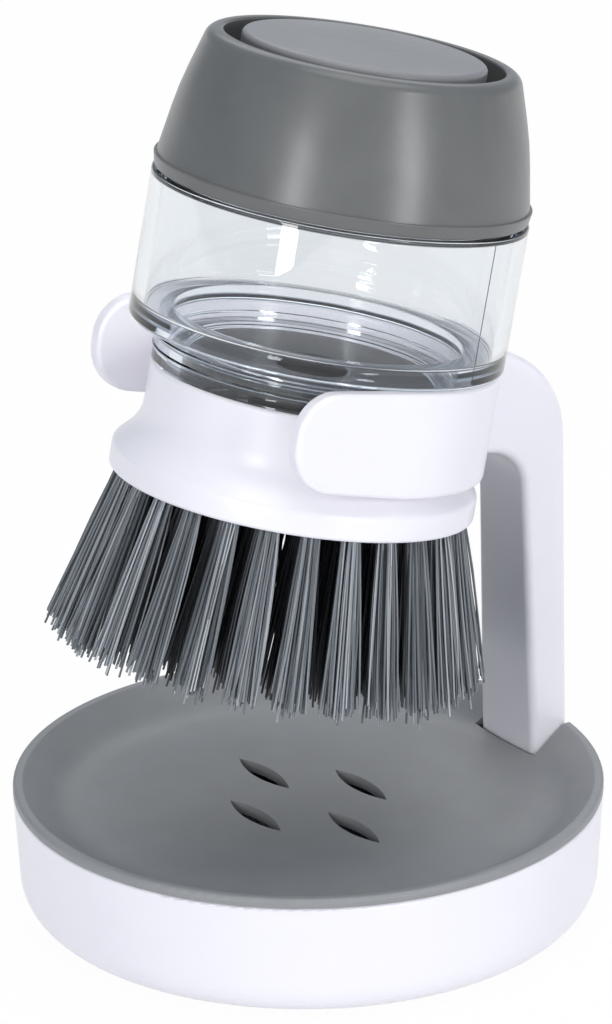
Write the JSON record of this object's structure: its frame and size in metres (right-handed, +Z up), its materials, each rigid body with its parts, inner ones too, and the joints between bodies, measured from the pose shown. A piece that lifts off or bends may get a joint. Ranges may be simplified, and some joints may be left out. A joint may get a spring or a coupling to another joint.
{
  "type": "soap-dispensing palm brush with drip stand",
  "caption": "Palm scrubbing brush with a clear soap tank and push-button pump, parked tilted in the fork of a post on a round base with a lift-out drip tray.",
  "frame": {"origin": "centre of the base on the table", "axes": "+Z up, the fork opens towards -Y and the post stands at +Y; the brush leans towards the post"},
  "size_m": [0.1008, 0.1001, 0.1544],
  "materials": {
    "cap_grey": "soft-touch matte",
    "button_grey": "satin",
    "clear": "polished clear",
    "dark_plastic": "gloss",
    "white": "gloss",
    "filament": "nylon filament",
    "tray_grey": "matte",
    "inner_plastic": "satin",
    "silicone": "matte",
    "seal_rubber": "matte",
    "feet_rubber": "matte",
    "steel": "drawn wire"
  },
  "bodies": {
    "stand": {"base_cup": "white", "stand_post": "white", "post_screws": "steel", "rubber_feet": "feet_rubber"},
    "tray": {"drip_tray": "tray_grey"},
    "brush": {"tank_wall": "clear", "tank_floor": "clear", "tank_shoulder": "clear", "valve_carrier": "dark_plastic", "carrier_seal": "seal_rubber", "slit_valve": "silicone", "valve_retainer": "dark_plastic"},
    "cap_seal": {"cap_gasket": "silicone"},
    "cap": {"cap_shell": "cap_grey", "cap_liner": "inner_plastic", "inlet_valve": "silicone", "pump_bellows": "silicone", "return_spring": "steel"},
    "button": {"pump_button": "button_grey"},
    "head_seal": {"head_gasket": "silicone"},
    "head": {"brush_head": "white", "outlet_bush": "white", "bristles_outer_ring": "filament", "bristles_second_ring": "filament", "bristles_third_ring": "filament", "bristles_inner_ring": "filament"}
  },
  "joints": [
    {"name": "brush_slide_out", "type": "slide", "parent": "stand", "child": "brush", "axis": [0, -0.9781, 0.2079], "range_m": [0, 0.07]},
    {"name": "cap_lift", "type": "slide", "parent": "brush", "child": "cap_seal", "axis": [0, 0.2079, 0.9781], "range_m": [0, 0.006]},
    {"name": "cap_turn", "type": "hinge", "parent": "cap_seal", "child": "cap", "pos_m": [0, 0.00874, 0.13034], "axis": [0, 0.2079, 0.9781], "range_deg": [0, 180.5]},
    {"name": "button_press", "type": "slide", "parent": "cap", "child": "button", "axis": [0, -0.2079, -0.9781], "range_m": [0, 0.004], "stiffness_N_per_m": 500, "springref_m": -0.002, "deforming": ["pump_bellows", "return_spring"]},
    {"name": "head_drop", "type": "slide", "parent": "brush", "child": "head_seal", "axis": [0, -0.2079, -0.9781], "range_m": [0, 0.008]},
    {"name": "head_turn", "type": "hinge", "parent": "head_seal", "child": "head", "pos_m": [0, -0.00166, 0.08144], "axis": [0, -0.2079, -0.9781], "range_deg": [0, 240.5]},
    {"name": "tray_lift", "type": "slide", "parent": "stand", "child": "tray", "axis": [0, 0, 1], "range_m": [0, 0.006]}
  ],
  "couplings": [
    {"joint": "cap_turn", "follows": "cap_lift", "rad_per_m": 523.6},
    {"joint": "head_turn", "follows": "head_drop", "rad_per_m": 523.6}
  ]
}
